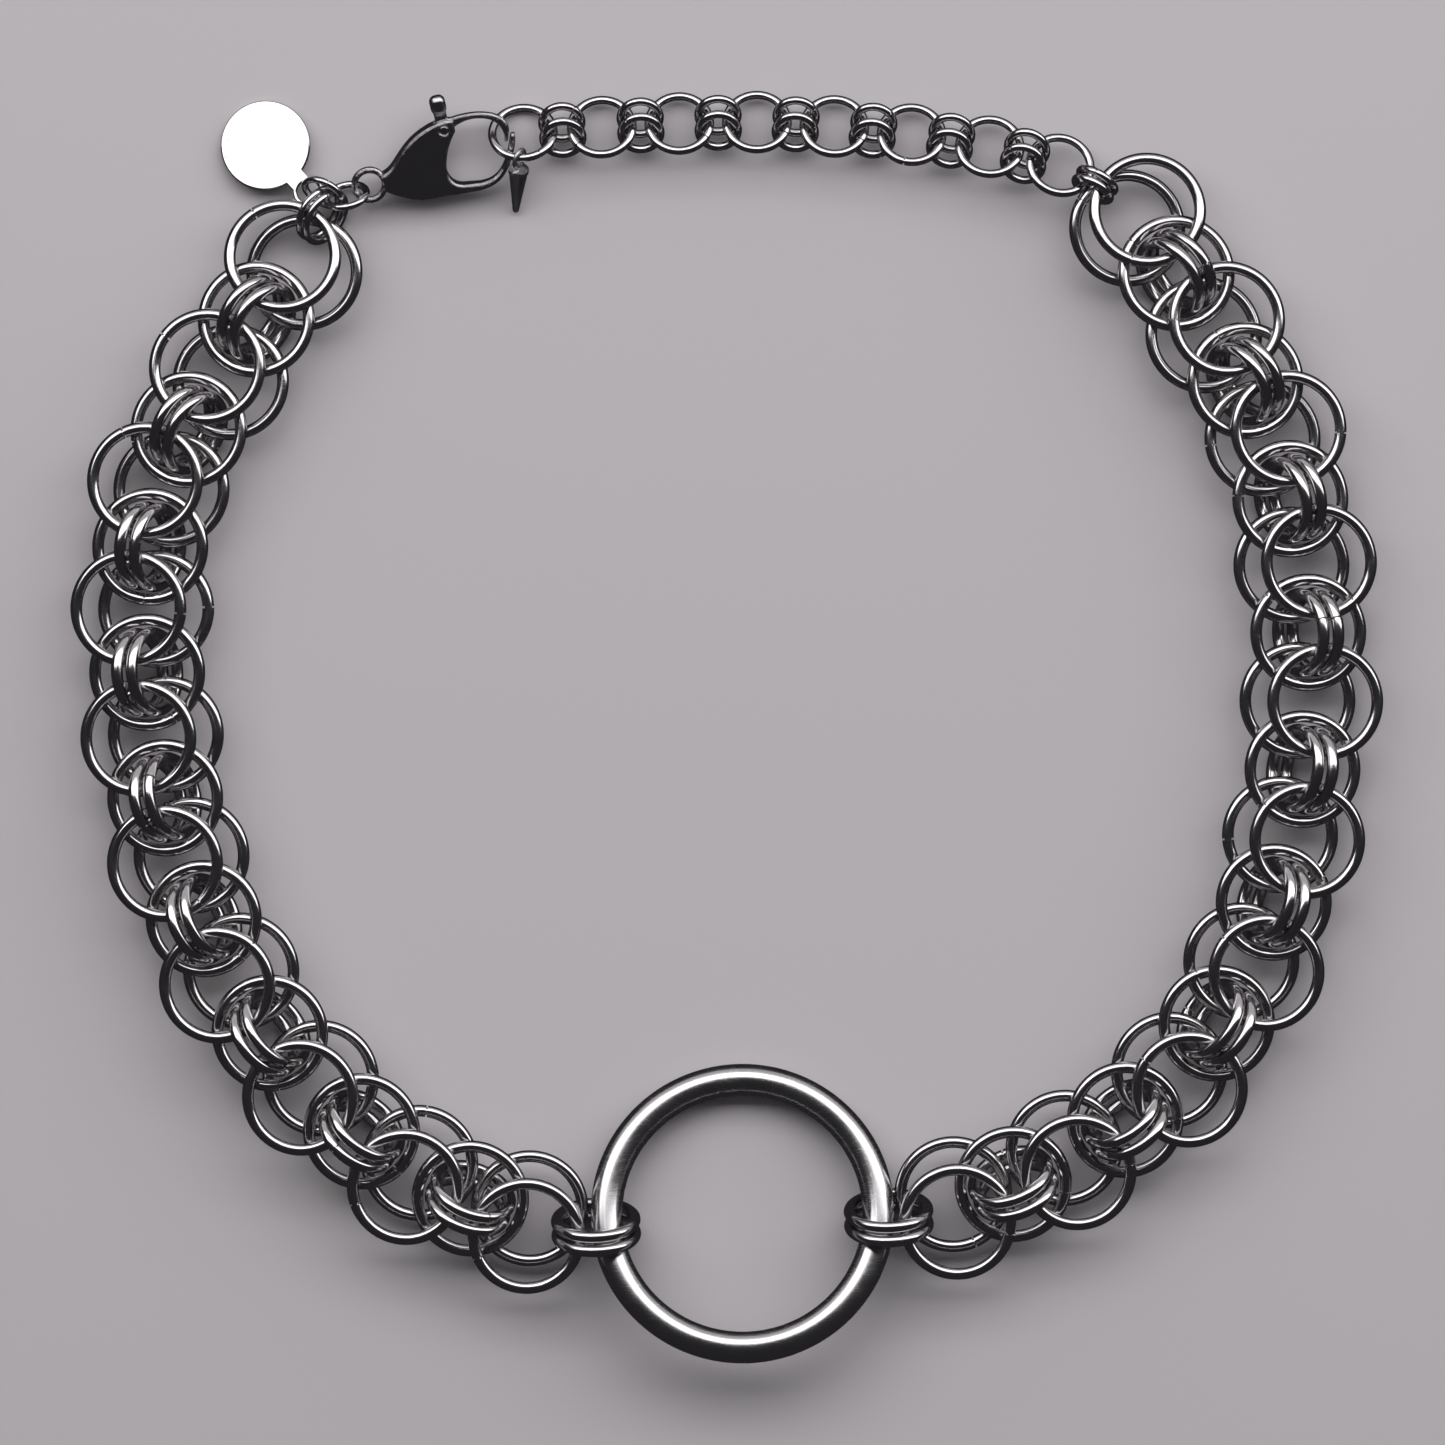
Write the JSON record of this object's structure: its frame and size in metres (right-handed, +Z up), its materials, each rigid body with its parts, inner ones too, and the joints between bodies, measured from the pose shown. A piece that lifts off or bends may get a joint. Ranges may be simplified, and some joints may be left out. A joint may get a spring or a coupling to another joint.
{
  "type": "chainmail necklace",
  "caption": "Polished steel chainmail necklace lying as a loop, with a thick centre ring, a lobster clasp, a blank tag and a spike drop.",
  "frame": {"origin": "middle of the necklace's bounding box, on the surface it lies on", "axes": "+X to the wearer's side that holds the extender's end, +Y from the centre ring towards the clasp, +Z up off the surface"},
  "size_m": [0.1642, 0.159, 0.0106],
  "materials": {
    "centre_ring": "polished stainless steel with fine handling scratches",
    "left_chain": "polished stainless steel",
    "right_chain": "polished stainless steel",
    "extender_chain": "polished stainless steel",
    "clasp_body": "polished stainless steel",
    "clasp_lever": "polished stainless steel",
    "clasp_pin": "polished stainless steel",
    "clasp_ring": "polished stainless steel",
    "tag_ring": "polished stainless steel",
    "tag": "mirror-polished stainless steel, blank, with a few tiny pits",
    "spike_charm": "polished stainless steel"
  },
  "bodies": {
    "necklace": {"centre_ring": "centre_ring", "left_chain": "left_chain", "right_chain": "right_chain", "extender_chain": "extender_chain", "clasp_body": "clasp_body", "clasp_pin": "clasp_pin", "clasp_ring": "clasp_ring", "tag_ring": "tag_ring", "tag": "tag", "spike_charm": "spike_charm"},
    "lever": {"clasp_lever": "clasp_lever"}
  },
  "joints": [
    {"name": "gate_hinge", "type": "hinge", "parent": "necklace", "child": "lever", "pos_m": [-0.03543, 0.07486, 0.00421], "axis": [-0.0557, 0.2354, -0.9703], "range_deg": [0, 9], "stiffness_Nm_per_rad": 0.005, "springref_deg": -11.46}
  ]
}
